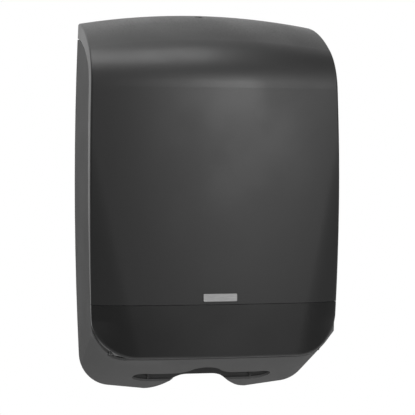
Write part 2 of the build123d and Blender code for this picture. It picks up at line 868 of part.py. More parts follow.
# Key lock in the top of the cover
with BuildPart() as lock_body:
    with BuildSketch(Plane.XY.offset(lock_seat)):
        with Locations((0, -lock_depth)):
            Circle(lock_flange_radius)
    extrude(amount=height)
    add(cover_outer, mode=Mode.INTERSECT)
    with BuildSketch(Plane.XY.offset(lock_seat)):
        with Locations((0, -lock_depth)):
            Circle(lock_radius)
    extrude(amount=-lock_length)
    with BuildSketch(Plane.XY.offset(lock_end)):
        with Locations((0, -lock_depth)):
            Circle(barrel_radius + barrel_fit)
    extrude(amount=height, mode=Mode.SUBTRACT)
lock_body.part.label = "lock_body"
export_step(lock_body.part, "parts/lock_body.step")

with BuildPart() as lock_nut:
    with BuildSketch(Plane.XY.offset(lock_boss_under)):
        with Locations((0, -lock_depth)):
            RegularPolygon(nut_flats / 2, 6, major_radius=False)
            Circle(lock_radius, mode=Mode.SUBTRACT)
    extrude(amount=-nut_height)
lock_nut.part.label = "lock_nut"
export_step(lock_nut.part, "parts/lock_nut.step")

with BuildPart() as lock_barrel:
    with BuildSketch(Plane.XY.offset(lock_end)):
        with Locations((0, -lock_depth)):
            Circle(barrel_radius)
    extrude(amount=lock_length + lock_flange_thick)
    with BuildSketch(Plane.XY.offset(lock_end)):
        with Locations((0, -lock_depth)):
            Rectangle(2 * tang_half, 2 * tang_half)
    extrude(amount=-(cam_gap + cam_thick))
    with BuildSketch(Plane.XY.offset(lock_seat + lock_flange_thick)):
        with Locations((0, -lock_depth)):
            Rectangle(keyway_width, keyway_length)
    extrude(amount=-keyway_deep, mode=Mode.SUBTRACT)
    with BuildSketch(Plane.XY.offset(cam_top - cam_thick)):
        with Locations((0, -lock_depth)):
            Circle(cam_screw_radius)
    extrude(amount=cam_screw_length, mode=Mode.SUBTRACT)
lock_barrel.part.label = "lock_barrel"
export_step(lock_barrel.part, "parts/lock_barrel.step")

with BuildPart() as lock_cam:
    with BuildSketch(Plane.XY.offset(cam_top)):
        with Locations((0, -lock_depth)):
            Circle(cam_hub_radius)
        with Locations((0, -lock_depth + cam_reach / 2)):
            Rectangle(2 * cam_half, cam_reach)
        with Locations((0, -lock_depth)):
            Rectangle(2 * tang_half, 2 * tang_half, mode=Mode.SUBTRACT)
    extrude(amount=-cam_thick)
lock_cam.part.label = "lock_cam"
export_step(lock_cam.part, "parts/lock_cam.step")

with BuildPart() as cam_screw:
    with BuildSketch(Plane.XY.offset(cam_top - cam_thick)):
        with Locations((0, -lock_depth)):
            Circle(cam_screw_radius)
    extrude(amount=cam_screw_length)
    with BuildSketch(Plane.XY.offset(cam_top - cam_thick)):
        with Locations((0, -lock_depth)):
            Circle(cam_washer_radius)
    extrude(amount=-cam_washer_thick)
    with BuildSketch(Plane.XY.offset(cam_top - cam_thick)):
        with Locations((0, -lock_depth)):
            Circle(cam_screw_head)
    extrude(amount=-cam_screw_head_height)
cam_screw.part.label = "cam_screw"
export_step(cam_screw.part, "parts/cam_screw.step")

# Keeper bracket: a plate on the back, an arm forward and a tab the turned cam hooks behind
with BuildPart() as lock_keeper:
    with BuildSketch(Plane.YZ.offset(keeper_left)):
        with BuildLine():
            Polyline(
                (-keeper_base, keeper_arm_z - keeper_plate),
                (-keeper_base, keeper_arm_z + keeper_thick),
                (-keeper_front, keeper_arm_z + keeper_thick),
                (-keeper_front, cam_top + keeper_over),
                (-keeper_front - keeper_thick, cam_top + keeper_over),
                (-keeper_front - keeper_thick, keeper_arm_z),
                (-keeper_base - keeper_thick, keeper_arm_z),
                (-keeper_base - keeper_thick, keeper_arm_z - keeper_plate),
                (-keeper_base, keeper_arm_z - keeper_plate),
            )
        make_face()
    extrude(amount=keeper_right - keeper_left)
    with BuildSketch(Plane.XZ.offset(keeper_base)):
        with Locations(keeper_screw_spots):
            Circle(keeper_screw_radius + screw_clearance)
    extrude(amount=keeper_thick, mode=Mode.SUBTRACT)
lock_keeper.part.label = "lock_keeper"
export_step(lock_keeper.part, "parts/lock_keeper.step")

with BuildPart() as keeper_screws:
    with BuildSketch(Plane.XZ.offset(keeper_base + keeper_thick)):
        with Locations(keeper_screw_spots):
            Circle(keeper_screw_radius)
    extrude(amount=-keeper_screw_length)
    with BuildSketch(Plane.XZ.offset(keeper_base + keeper_thick)):
        with Locations(keeper_screw_spots):
            Circle(keeper_screw_head)
    extrude(amount=keeper_screw_head_height)
    rims = keeper_screws.edges().filter_by(GeomType.CIRCLE).group_by(Axis.Y)[0]
    fillet(rims, keeper_screw_head_height / 2)
    with BuildSketch(Plane.XZ.offset(keeper_base + keeper_thick + keeper_screw_head_height)):
        with Locations(keeper_screw_spots):
            Rectangle(2 * keeper_screw_radius, recess_width)
            Rectangle(recess_width, 2 * keeper_screw_radius)
    extrude(amount=-keeper_screw_head_height / 2, mode=Mode.SUBTRACT)
keeper_screws.part.label = "keeper_screws"
export_step(keeper_screws.part, "parts/keeper_screws.step")

# Rubber buffers on tabs inside the housing's side walls
with BuildPart() as cover_buffers:
    for x, z in buffer_spots:
        with BuildSketch(Plane.XZ.offset(rim_depth[z] - buffer_thick)):
            with Locations((x, z)):
                Circle(buffer_radius)
        extrude(amount=buffer_thick + seam_gap - buffer_gap)
cover_buffers.part.label = "cover_buffers"
export_step(cover_buffers.part, "parts/cover_buffers.step")
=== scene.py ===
# %% [markdown]
# A wall-mounted dispenser for folded paper towels, seen closed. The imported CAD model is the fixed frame
# of this scene: every shape already sits where it belongs, in metres, so this lesson adds finishes, a few
# finer pieces, light and a camera. The box of the bare CAD model is kept, to compare sizes at the end.

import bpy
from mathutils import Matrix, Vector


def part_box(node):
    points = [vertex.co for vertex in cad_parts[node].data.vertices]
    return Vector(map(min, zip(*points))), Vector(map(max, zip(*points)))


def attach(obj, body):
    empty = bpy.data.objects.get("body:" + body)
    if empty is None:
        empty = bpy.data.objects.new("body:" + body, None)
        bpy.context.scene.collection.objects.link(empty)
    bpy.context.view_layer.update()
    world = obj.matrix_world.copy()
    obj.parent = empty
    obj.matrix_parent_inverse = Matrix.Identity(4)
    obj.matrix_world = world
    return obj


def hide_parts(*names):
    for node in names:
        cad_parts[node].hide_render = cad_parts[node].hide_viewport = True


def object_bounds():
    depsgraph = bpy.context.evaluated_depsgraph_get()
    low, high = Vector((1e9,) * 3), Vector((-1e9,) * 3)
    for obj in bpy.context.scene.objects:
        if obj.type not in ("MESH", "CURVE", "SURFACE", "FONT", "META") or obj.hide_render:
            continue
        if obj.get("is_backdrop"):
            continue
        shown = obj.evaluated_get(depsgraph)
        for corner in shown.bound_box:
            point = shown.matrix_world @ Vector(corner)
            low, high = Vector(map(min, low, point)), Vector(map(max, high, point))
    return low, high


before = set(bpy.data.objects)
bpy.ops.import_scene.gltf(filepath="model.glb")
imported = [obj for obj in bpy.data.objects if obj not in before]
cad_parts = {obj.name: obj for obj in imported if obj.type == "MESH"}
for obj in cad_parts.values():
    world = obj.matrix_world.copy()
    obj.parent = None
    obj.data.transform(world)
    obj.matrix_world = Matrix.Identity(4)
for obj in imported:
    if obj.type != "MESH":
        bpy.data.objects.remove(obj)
cad_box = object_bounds()

# %% [markdown]
# Lengths are written in millimetres, as on a drawing, and greys from 0 to 255, as on a paint chart. Both
# could be turned into Blender's metres and linear colours by hand. One name and one small function do it
# without slips.

# %% Names used all through
import math

import bmesh
import bpy
from mathutils import Euler, Matrix, Vector
from mathutils.bvhtree import BVHTree
from mathutils.geometry import barycentric_transform

MM = 0.001
scene = bpy.context.scene
scene.view_settings.view_transform = "Standard"


def srgb(level):
    """A grey as a paint chart gives it, 0 to 255, as the linear colour that a shader wants."""
    share = level / 255
    linear = share / 12.92 if share <= 0.04045 else ((share + 0.055) / 1.055) ** 2.4
    return (linear, linear, linear, 1.0)


print("nodes:", len(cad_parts))

# %% [markdown]
# Several finishes share an effect, such as grain, wear or dust. It could be copied into every material, but
# a node group is built once and gets its own values wherever it is placed. These helpers add the nodes.
# Nearly every input is either a plain number or the output of another node, so one of them feeds both.

# %% Helpers for shader groups
def feed(tree, socket, value):
    """Set a socket to a plain value, or link it to another node's output."""
    if isinstance(value, bpy.types.NodeSocket):
        tree.links.new(value, socket)
    else:
        socket.default_value = value


def shader_group(name, inputs, outputs):
    group = bpy.data.node_groups.new(name, "ShaderNodeTree")
    for label, kind in inputs:
        group.interface.new_socket(name=label, in_out="INPUT", socket_type=kind)
    for label in outputs:
        group.interface.new_socket(name=label, in_out="OUTPUT", socket_type="NodeSocketFloat")
    return group, group.nodes.new("NodeGroupInput"), group.nodes.new("NodeGroupOutput")


def maths(tree, operation, first, second, clamp=False):
    node = tree.nodes.new("ShaderNodeMath")
    node.operation = operation
    node.use_clamp = clamp
    for socket, value in zip(node.inputs, (first, second)):
        feed(tree, socket, value)
    return node.outputs[0]


def noise(tree, vector, scale, detail):
    node = tree.nodes.new("ShaderNodeTexNoise")
    node.inputs["Detail"].default_value = detail
    tree.links.new(vector, node.inputs["Vector"])
    feed(tree, node.inputs["Scale"], scale)
    return node.outputs["Fac"]


def spread(tree, value, low, high, to_low=0.0, to_high=1.0):
    """Ease a value from one pair of limits to another, with soft ends."""
    node = tree.nodes.new("ShaderNodeMapRange")
    node.interpolation_type = "SMOOTHSTEP"
    tree.links.new(value, node.inputs["Value"])
    for label, number in (("From Min", low), ("From Max", high), ("To Min", to_low), ("To Max", to_high)):
        node.inputs[label].default_value = number
    return node.outputs["Result"]


print("helpers ready: feed, shader_group, maths, noise, spread")

# %% [markdown]
# Every plastic on the dispenser comes out of a mould whose steel was spark eroded, which leaves a fine
# even grain. An image could carry it, but noise stays sharp at any distance. The group mixes soft noise
# with small pits, and gives a height for bumps and a speckle for tone.

# %% The mould grain
mould_grain, entry, leave = shader_group(
    "Mould grain",
    [("Place", "NodeSocketVector"), ("Grains a metre", "NodeSocketFloat")],
    ["Height", "Speckle"],
)
soft = noise(mould_grain, entry.outputs["Place"], entry.outputs["Grains a metre"], 2.0)
pits = mould_grain.nodes.new("ShaderNodeTexVoronoi")
mould_grain.links.new(entry.outputs["Place"], pits.inputs["Vector"])
mould_grain.links.new(entry.outputs["Grains a metre"], pits.inputs["Scale"])
height = maths(mould_grain, "ADD", soft, pits.outputs["Distance"])
mould_grain.links.new(maths(mould_grain, "MULTIPLY", height, 0.5), leave.inputs["Height"])
mould_grain.links.new(spread(mould_grain, soft, 0.35, 0.65), leave.inputs["Speckle"])
print("group:", mould_grain.name)

# %% [markdown]
# Hands polish the rims of a cover and wear them a little lighter. The mesh has no record of its corners,
# so the group asks the Bevel node how far a rounded normal would turn from the flat one: where they part,
# there is an edge. Noise breaks the line up, because real wear is never even.

# %% Worn edges
edge_wear, entry, leave = shader_group(
    "Edge wear",
    [("Place", "NodeSocketVector"), ("Reach", "NodeSocketFloat"), ("Patches a metre", "NodeSocketFloat")],
    ["Mask"],
)
rounded = edge_wear.nodes.new("ShaderNodeBevel")
rounded.samples = 4
edge_wear.links.new(entry.outputs["Reach"], rounded.inputs["Radius"])
flat = edge_wear.nodes.new("ShaderNodeNewGeometry")
turn = edge_wear.nodes.new("ShaderNodeVectorMath")
turn.operation = "DOT_PRODUCT"
edge_wear.links.new(rounded.outputs["Normal"], turn.inputs[0])
edge_wear.links.new(flat.outputs["Normal"], turn.inputs[1])
corner = spread(edge_wear, turn.outputs["Value"], 0.995, 0.8)
patches = noise(edge_wear, entry.outputs["Place"], entry.outputs["Patches a metre"], 4.0)
broken = spread(edge_wear, patches, 0.38, 0.62)
edge_wear.links.new(maths(edge_wear, "MULTIPLY", corner, broken), leave.inputs["Mask"])
print("group:", edge_wear.name)

# %% [markdown]
# In a washroom the broad faces pick up a cloudy variation from wiping, and what faces up keeps a film of
# paper dust. One group gives both: slow clouds for tone and gloss, and a dust mask from the upward normal.

# %% Wiped clouds and paper dust
room_wear, entry, leave = shader_group(
    "Room wear",
    [("Place", "NodeSocketVector"), ("Clouds a metre", "NodeSocketFloat")],
    ["Clouds", "Dust"],
)
clouds = noise(room_wear, entry.outputs["Place"], entry.outputs["Clouds a metre"], 3.0)
room_wear.links.new(spread(room_wear, clouds, 0.3, 0.7), leave.inputs["Clouds"])
facing = room_wear.nodes.new("ShaderNodeNewGeometry")
upward = room_wear.nodes.new("ShaderNodeSeparateXYZ")
room_wear.links.new(facing.outputs["Normal"], upward.inputs["Vector"])
lying = spread(room_wear, upward.outputs["Z"], 0.55, 1.0)
grit = spread(room_wear, noise(room_wear, entry.outputs["Place"], 900.0, 3.0), 0.42, 0.7)
room_wear.links.new(maths(room_wear, "MULTIPLY", lying, grit), leave.inputs["Dust"])
print("group:", room_wear.name)

# %% [markdown]
# Drawn, rolled and plated metal has fine parallel lines. Noise squeezed hard along one direction makes
# them. The direction is set by the Mapping node in each material, so the group only receives a place.

# %% Drawn lines for metal
drawn_lines, entry, leave = shader_group(
    "Drawn lines",
    [("Place", "NodeSocketVector"), ("Lines a metre", "NodeSocketFloat")],
    ["Height", "Tone"],
)
lines = noise(drawn_lines, entry.outputs["Place"], entry.outputs["Lines a metre"], 3.0)
drawn_lines.links.new(lines, leave.inputs["Height"])
drawn_lines.links.new(spread(drawn_lines, lines, 0.3, 0.7), leave.inputs["Tone"])
print("group:", drawn_lines.name)

# %% [markdown]
# Every finish starts in the same way: a material with a Principled shader, groups that read the object's
# own coordinates, so that a pattern stays on its piece when the piece moves, colours laid one over the
# other, and a bump for fine relief. With helpers for these steps, a recipe reads as a list of effects.

# %% Helpers for materials
def place_group(material, group, place, **values):
    node = material.node_tree.nodes.new("ShaderNodeGroup")
    node.node_tree = group
    material.node_tree.links.new(place, node.inputs["Place"])
    for label, value in values.items():
        node.inputs[label.replace("_", " ")].default_value = value
    return node


def blend_colour(tree, share, below, above):
    node = tree.nodes.new("ShaderNodeMix")
    node.data_type = "RGBA"
    tree.links.new(share, node.inputs["Factor"])
    for label, colour in (("A", below), ("B", above)):
        feed(tree, next(s for s in node.inputs if s.name == label and s.type == "RGBA"), colour)
    return next(s for s in node.outputs if s.type == "RGBA")


def new_material(name):
    material = bpy.data.materials.new(name)
    material.use_nodes = True
    tree = material.node_tree
    where = tree.nodes.new("ShaderNodeTexCoord").outputs["Object"]
    return material, tree, where, tree.nodes["Principled BSDF"]


def bump(tree, shader, height, depth, strength):
    node = tree.nodes.new("ShaderNodeBump")
    node.inputs["Distance"].default_value = depth
    node.inputs["Strength"].default_value = strength
    tree.links.new(height, node.inputs["Height"])
    tree.links.new(node.outputs["Normal"], shader.inputs["Normal"])


print("helpers ready: place_group, blend_colour, new_material, bump")

# %% [markdown]
# A moulded plastic is one recipe with different numbers: a body colour that clouds and speckle move a
# little, a lighter worn colour on edges, dust on top, and gloss that follows the grain. Plain numbers,
# such as the share of mirror reflection, are set straight on the shader.

# %% The recipe for a moulded plastic
TONE_SWING, GLOSS_SWING = 3, 0.05
EDGE_REACH = 0.8 * MM
DUST_GREY = 150


def moulded_plastic(name, body, worn, gloss, mirror, grains=1300.0, pit=0.05 * MM, dusty=0.25):
    material, tree, where, shader = new_material(name)
    grain = place_group(material, mould_grain, where, Grains_a_metre=grains)
    wear = place_group(material, edge_wear, where, Reach=EDGE_REACH, Patches_a_metre=260.0)
    room = place_group(material, room_wear, where, Clouds_a_metre=14.0)
    worn_share = maths(tree, "MULTIPLY", wear.outputs["Mask"], 0.5)
    dust_share = maths(tree, "MULTIPLY", room.outputs["Dust"], dusty)
    tone = maths(tree, "MULTIPLY", room.outputs["Clouds"], 0.6)
    tone = maths(tree, "ADD", tone, maths(tree, "MULTIPLY", grain.outputs["Speckle"], 0.4))
    colour = blend_colour(tree, tone, srgb(body - TONE_SWING), srgb(body + TONE_SWING))
    colour = blend_colour(tree, worn_share, colour, srgb(worn))
    colour = blend_colour(tree, dust_share, colour, srgb(DUST_GREY))
    tree.links.new(colour, shader.inputs["Base Color"])
    rough = spread(tree, tone, 0.0, 1.0, gloss + GLOSS_SWING, gloss - GLOSS_SWING)
    rough = maths(tree, "SUBTRACT", rough, maths(tree, "MULTIPLY", wear.outputs["Mask"], 0.1))
    rough = maths(tree, "ADD", rough, maths(tree, "MULTIPLY", room.outputs["Dust"], 0.2), clamp=True)
    tree.links.new(rough, shader.inputs["Roughness"])
    shader.inputs["Specular IOR Level"].default_value = mirror
    bump(tree, shader, grain.outputs["Height"], pit, 0.6)
    return material


print("recipe ready: moulded_plastic")

# %% [markdown]
# The housing is dark grey, the cover black with a matt grain, the lower panel a smoother black, and the
# inner pieces greys that nobody sees while the cover is shut. Each keeps its own grain and gloss.

# %% Plastics of the dispenser
def finish_nodes(material, *names):
    for name in names:
        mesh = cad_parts[name].data
        mesh.materials.clear()
        mesh.materials.append(material)
    print(material.name, "->", ", ".join(names))


housing_grey = moulded_plastic("Housing_grey", 91, 116, 0.8, 0.06, dusty=0.1)
cover_black = moulded_plastic("Cover_black", 39, 74, 0.41, 0.42, pit=0.085 * MM, dusty=0.06)
panel_black = moulded_plastic("Panel_black", 29, 62, 0.37, 0.5, grains=1700.0, pit=0.04 * MM)
throat_dark = moulded_plastic("Throat_dark", 70, 92, 0.5, 0.3)
tray_grey = moulded_plastic("Tray_grey", 104, 130, 0.5, 0.4)
guide_grey = moulded_plastic("Guide_grey", 122, 146, 0.45, 0.4)
hinge_black = moulded_plastic("Hinge_black", 32, 60, 0.42, 0.4, grains=2200.0, pit=0.02 * MM)
lock_black = moulded_plastic("Lock_lacquer", 48, 96, 0.4, 0.3, grains=2600.0, pit=0.01 * MM, dusty=0.06)

finish_nodes(housing_grey, "back_housing")
finish_nodes(cover_black, "front_cover")
finish_nodes(panel_black, "lower_panel")
finish_nodes(throat_dark, "outlet_throat")
finish_nodes(tray_grey, "towel_tray")
finish_nodes(guide_grey, "towel_guide_left", "towel_guide_right")
finish_nodes(lock_black, "lock_body")
finish_nodes(
    hinge_black,
    "hinge_block_left", "hinge_block_right", "hinge_bush_left", "hinge_bush_right",
    "guide_clips_left", "guide_clips_right",
)

# %% [markdown]
# The pins, the keeper and the screws are zinc-plated steel, the lock is nickel-plated zinc with a brass
# barrel, and the bare plate on the front is satin foil. They share one recipe: metal whose tone and gloss
# follow drawn lines, with worn corners.

# %% The recipe for metal, and its finishes
def drawn_metal(name, bright, dull, gloss, stretch, lines=900.0, metal=1.0, coat=0.0):
    material, tree, where, shader = new_material(name)
    squeeze = tree.nodes.new("ShaderNodeMapping")
    squeeze.inputs["Scale"].default_value = stretch
    tree.links.new(where, squeeze.inputs["Vector"])
    drawn = place_group(material, drawn_lines, squeeze.outputs["Vector"], Lines_a_metre=lines)
    wear = place_group(material, edge_wear, where, Reach=0.3 * MM, Patches_a_metre=700.0)
    room = place_group(material, room_wear, where, Clouds_a_metre=120.0)
    colour = blend_colour(tree, drawn.outputs["Tone"], dull, bright)
    cloudy = maths(tree, "MULTIPLY", room.outputs["Clouds"], 0.35)
    colour = blend_colour(tree, cloudy, colour, dull)
    colour = blend_colour(tree, maths(tree, "MULTIPLY", wear.outputs["Mask"], 0.6), colour, bright)
    tree.links.new(colour, shader.inputs["Base Color"])
    rough = spread(tree, drawn.outputs["Tone"], 0.0, 1.0, gloss + 0.08, gloss - 0.06)
    tree.links.new(rough, shader.inputs["Roughness"])
    shader.inputs["Metallic"].default_value = metal
    shader.inputs["Coat Weight"].default_value = coat
    bump(tree, shader, drawn.outputs["Height"], 0.02 * MM, 0.35)
    return material


BRASS_BRIGHT, BRASS_DULL = (0.66, 0.5, 0.22, 1.0), (0.42, 0.3, 0.13, 1.0)
steel = drawn_metal("Plated_steel", srgb(205), srgb(160), 0.32, (1.0, 1.0, 0.06))
lock_zinc = drawn_metal("Nickel_zinc", srgb(190), srgb(150), 0.28, (1.0, 1.0, 0.08))
lock_brass = drawn_metal("Barrel_brass", BRASS_BRIGHT, BRASS_DULL, 0.3, (1.0, 1.0, 0.08))
plate_foil = drawn_metal(
    "Plate_foil", srgb(160), srgb(140), 0.42, (0.05, 1.0, 1.0), lines=2600.0, metal=0.3, coat=0.1
)

finish_nodes(steel, "hinge_pin_left", "hinge_pin_right", "lock_keeper", "cam_screw")
finish_nodes(lock_zinc, "lock_nut", "lock_cam")
finish_nodes(lock_brass, "lock_barrel")
finish_nodes(plate_foil, "name_plate")

# %% [markdown]
# Halfway up, the edge of the cover is crisp. Towards the lower corners it rolls back into a soft cheek
# that shows as a dark band beside a paler edge, and the corner itself is drawn in like a ball. A CAD fillet
# keeps one radius, so this is made here, on copies of the cover and its lower panel. A rule says how far
# each place moves: back by the roll, and towards the middle of the corner's round by the draw. Both fade to
# nothing at the rim, so the seam with the housing stays shut and the hinges stay free.

# %% How far the cheeks roll back
CHEEK_START, CHEEK_SPREAD, CHEEK_RISE = 79 * MM, 0.218, 225 * MM
CHEEK_RADIUS = 65 * MM
CORNER_ROUND, CORNER_SIDE, CORNER_DRAW = 39 * MM, 124.5 * MM, 2 * MM
CORNER_CALM = 0.2 * CORNER_ROUND
FRONT_LEAN, FRONT_BULGE = math.radians(1.5), 735 * MM
RIM_BEHIND = 26.5 * MM
HINGE_SIDE, HINGE_CLEAR, HINGE_CALM = 103 * MM, 111 * MM, 0.42
front_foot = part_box("lower_panel")[0]


def eased(value, low, high):
    """From 0 to 1 between two limits, with soft ends."""
    share = min(max((value - low) / (high - low), 0.0), 1.0)
    return share * share * (3 - 2 * share)


def rolled_place(place):
    """Where a place of the cover goes: most at the front, not at all from the rim backwards."""
    rise, side = place.z - front_foot.z, abs(place.x)
    past = side - CHEEK_START - CHEEK_SPREAD * rise
    if past <= 0:
        return place.copy()
    behind = place.y - front_foot.y - rise * math.tan(FRONT_LEAN)
    bulge = FRONT_BULGE - math.sqrt(FRONT_BULGE**2 - side**2)
    forward = (RIM_BEHIND - behind) / (RIM_BEHIND - bulge)
    quiet = HINGE_CALM * (1 - eased(side, HINGE_SIDE, HINGE_CLEAR))
    share = min(max((forward - quiet) / (1 - quiet), 0.0), 1.0)
    moved = place + Vector((0, share * past**2 / (2 * CHEEK_RADIUS), 0))
    out = Vector((side - CORNER_SIDE + CORNER_ROUND, CORNER_ROUND - rise))
    if out.x > 0 and out.y > 0:
        reach = 2 * out.x * out.y / out.length_squared * eased(out.length, CORNER_CALM, CORNER_ROUND)
        draw = out.normalized() * (share * CORNER_DRAW * reach)
        moved += Vector((-math.copysign(draw.x, place.x), 0, draw.y))
    return moved


corner = Vector((114 * MM, front_foot.y + 9 * MM, front_foot.z + 11 * MM))
print("a corner moves", [round(way / MM, 1) for way in rolled_place(corner) - corner], "mm")

# %% [markdown]
# Planes cut the copies finer in the corners, so that the roll has points to bend. Subdividing would do that
# too, but it would also cut the flat parts. The way the rule stretches space around a place turns its
# normal, so the shading follows the bent surface exactly.

# %% Cuts and normals for the roll
FINE_STEP, COARSE_STEP = 4 * MM, 8 * MM
SAME_SPOT = 0.0001 * MM


def cut_finer(work):
    faces = [
        face for face in work.faces
        if max(abs(v.co.x) for v in face.verts) > CHEEK_START
        and min(v.co.z for v in face.verts) < front_foot.z + CHEEK_RISE
    ]
    edges = dict.fromkeys(edge for face in faces for edge in face.edges)
    points = dict.fromkeys(point for face in faces for point in face.verts)
    part = [*faces, *edges, *points]
    sides = [CHEEK_START + FINE_STEP * number for number in range(13)]
    rises = [FINE_STEP * number for number in range(1, 10)]
    rises += [COARSE_STEP * number for number in range(5, 29)]
    planes = [((way * side, 0, 0), (1, 0, 0)) for side in sides for way in (-1, 1)]
    planes += [((0, 0, front_foot.z + rise), (0, 0, 1)) for rise in rises]
    for spot, way in planes:
        cut = bmesh.ops.bisect_plane(work, geom=part, plane_co=spot, plane_no=way, dist=SAME_SPOT)
        part = cut["geom"]
    bmesh.ops.triangulate(work, faces=work.faces[:])


def turned_normal(normal, place):
    """The normal of the bent surface, from how the rule moves the places just around."""
    step = 0.1 * MM
    beside = place + Vector((math.copysign(step, place.x), 0, -step))
    if rolled_place(beside) == beside:
        return normal
    stretch = Matrix.Identity(3)
    for axis in range(3):
        move = Vector([step if number == axis else 0.0 for number in range(3)])
        stretch.col[axis] = (rolled_place(place + move) - rolled_place(place - move)) / (2 * step)
    return (stretch.inverted_safe().transposed() @ normal).normalized()


print("cuts every", FINE_STEP / MM, "mm in the corners and every", COARSE_STEP / MM, "mm above")

# %% [markdown]
# The front cover and its lower panel are the two mouldings that a hand meets first. A bent copy of each
# takes the place of its CAD shape and rides on the same body. Every new face lies on one triangle of the
# CAD mesh, which lends it the exact normals of the moulded surface before the points move.

# %% The rolled cover and panel
def rolled(name, finish):
    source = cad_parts[name].data
    source.calc_loop_triangles()
    triangles = source.loop_triangles
    spots = [vertex.co.copy() for vertex in source.vertices]
    nearest = BVHTree.FromPolygons(spots, [triangle.vertices[:] for triangle in triangles])
    work = bmesh.new()
    work.from_mesh(source)
    cut_finer(work)
    normals = []
    for face in work.faces:
        triangle = triangles[nearest.find_nearest(face.calc_center_median())[2]]
        ends = [spots[number] for number in triangle.vertices]
        lent = [source.corner_normals[number].vector for number in triangle.loops]
        for loop in face.loops:
            normals.append(turned_normal(barycentric_transform(loop.vert.co, *ends, *lent), loop.vert.co))
    for vertex in work.verts:
        vertex.co = rolled_place(vertex.co)
    mesh = bpy.data.meshes.new(name + "_rolled")
    work.to_mesh(mesh)
    work.free()
    mesh.shade_smooth()
    mesh.normals_split_custom_set(normals)
    mesh.materials.append(finish)
    piece = bpy.data.objects.new(name + "_rolled", mesh)
    scene.collection.objects.link(piece)
    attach(piece, "cover")
    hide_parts(name)
    print(piece.name, "has", len(mesh.polygons), "faces")


rolled("front_cover", cover_black)
rolled("lower_panel", panel_black)

# %% [markdown]
# Small screws hold the tray and the lock's keeper, and rubber buffers stop the cover. Both repeat, so
# Geometry Nodes make them: a tree with named sizes shapes one, and sets it on points measured from the CAD
# model. Copies of one mesh would do too, but a tree can be sized anew for each use.

# %% Helpers for Geometry Nodes
def geometry_tree(name, inputs):
    tree = bpy.data.node_groups.new(name, "GeometryNodeTree")
    tree.interface.new_socket(name="Geometry", in_out="INPUT", socket_type="NodeSocketGeometry")
    for label, kind in inputs:
        tree.interface.new_socket(name=label, in_out="INPUT", socket_type=kind)
    tree.interface.new_socket(name="Geometry", in_out="OUTPUT", socket_type="NodeSocketGeometry")
    return tree, tree.nodes.new("NodeGroupInput"), tree.nodes.new("NodeGroupOutput")


def add_node(tree, kind, values=(), **settings):
    """A node with its settings, and its inputs set from numbers or linked from sockets."""
    node = tree.nodes.new(kind)
    for label, value in settings.items():
        setattr(node, label, value)
    for label, value in values:
        feed(tree, node.inputs[label], value)
    return node


def vector(tree, x, y, z):
    return add_node(tree, "ShaderNodeCombineXYZ", [("X", x), ("Y", y), ("Z", z)]).outputs[0]


def measured_spots(name, axes):
    """The box of each separate solid of a CAD node, told apart by its side of the middle."""
    low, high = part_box(name)
    middle = (low + high) / 2
    groups = {}
    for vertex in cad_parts[name].data.vertices:
        side = tuple(vertex.co[axis] > middle[axis] for axis in axes)
        groups.setdefault(side, []).append(vertex.co)
    return [
        (Vector(map(min, *points)), Vector(map(max, *points))) for side, points in sorted(groups.items())
    ]


def grown(tree, name, points, values):
    """A plain mesh, made by the tree on these points with these inputs."""
    seeds = bpy.data.meshes.new(name + "_points")
    seeds.from_pydata(points, [], [])
    carrier = bpy.data.objects.new(name + "_carrier", seeds)
    scene.collection.objects.link(carrier)
    modifier = carrier.modifiers.new("Grow", "NODES")
    modifier.node_group = tree
    for socket in tree.interface.items_tree:
        if socket.in_out == "INPUT" and socket.name in values:
            modifier[socket.identifier] = values[socket.name]
    bpy.context.view_layer.update()
    evaluated = carrier.evaluated_get(bpy.context.evaluated_depsgraph_get())
    mesh = bpy.data.meshes.new_from_object(evaluated)
    mesh.name = name
    bpy.data.objects.remove(carrier)
    piece = bpy.data.objects.new(name, mesh)
    scene.collection.objects.link(piece)
    print(name, "has", len(mesh.polygons), "faces")
    return piece


print("helpers ready: geometry_tree, add_node, vector, measured_spots, grown")

# %% [markdown]
# The pan head is half a ball, squeezed to a low dome, with two crossed bars cut out for the driver. A
# turned profile would give the dome too, but the ball is one node, and its sizes stay inputs of the tree.

# %% The head of a screw
LENGTH = "NodeSocketFloat"
screw_tree, entry, leave = geometry_tree(
    "Screws",
    [
        ("Head radius", LENGTH), ("Head height", LENGTH), ("Shank radius", LENGTH),
        ("Shank length", LENGTH), ("Thread pitch", LENGTH), ("Cross width", LENGTH),
        ("Lean", "NodeSocketRotation"), ("Seed", "NodeSocketInt"), ("Finish", "NodeSocketMaterial"),
    ],
)
ball = add_node(screw_tree, "GeometryNodeMeshUVSphere", [("Segments", 32), ("Rings", 24), ("Radius", 1.0)])
place = add_node(screw_tree, "GeometryNodeInputPosition")
split = add_node(screw_tree, "ShaderNodeSeparateXYZ", [("Vector", place.outputs[0])])
dome = maths(screw_tree, "POWER", maths(screw_tree, "MAXIMUM", split.outputs["Z"], 0.0), 0.5)
head_radius = entry.outputs["Head radius"]
head_height = entry.outputs["Head height"]
pan = add_node(screw_tree, "GeometryNodeSetPosition", [
    ("Geometry", ball.outputs["Mesh"]),
    ("Position", vector(
        screw_tree,
        maths(screw_tree, "MULTIPLY", split.outputs["X"], head_radius),
        maths(screw_tree, "MULTIPLY", split.outputs["Y"], head_radius),
        maths(screw_tree, "MULTIPLY", dome, head_height),
    )),
])
pan = add_node(screw_tree, "GeometryNodeMergeByDistance", [
    ("Geometry", pan.outputs[0]), ("Distance", 0.01 * MM),
])
cross_length = maths(screw_tree, "MULTIPLY", entry.outputs["Shank radius"], 2.0)
slots = add_node(screw_tree, "GeometryNodeJoinGeometry")
for sizes in (
    (cross_length, entry.outputs["Cross width"], head_height),
    (entry.outputs["Cross width"], cross_length, head_height),
):
    bar = add_node(screw_tree, "GeometryNodeMeshCube", [("Size", vector(screw_tree, *sizes))])
    screw_tree.links.new(bar.outputs["Mesh"], slots.inputs[0])
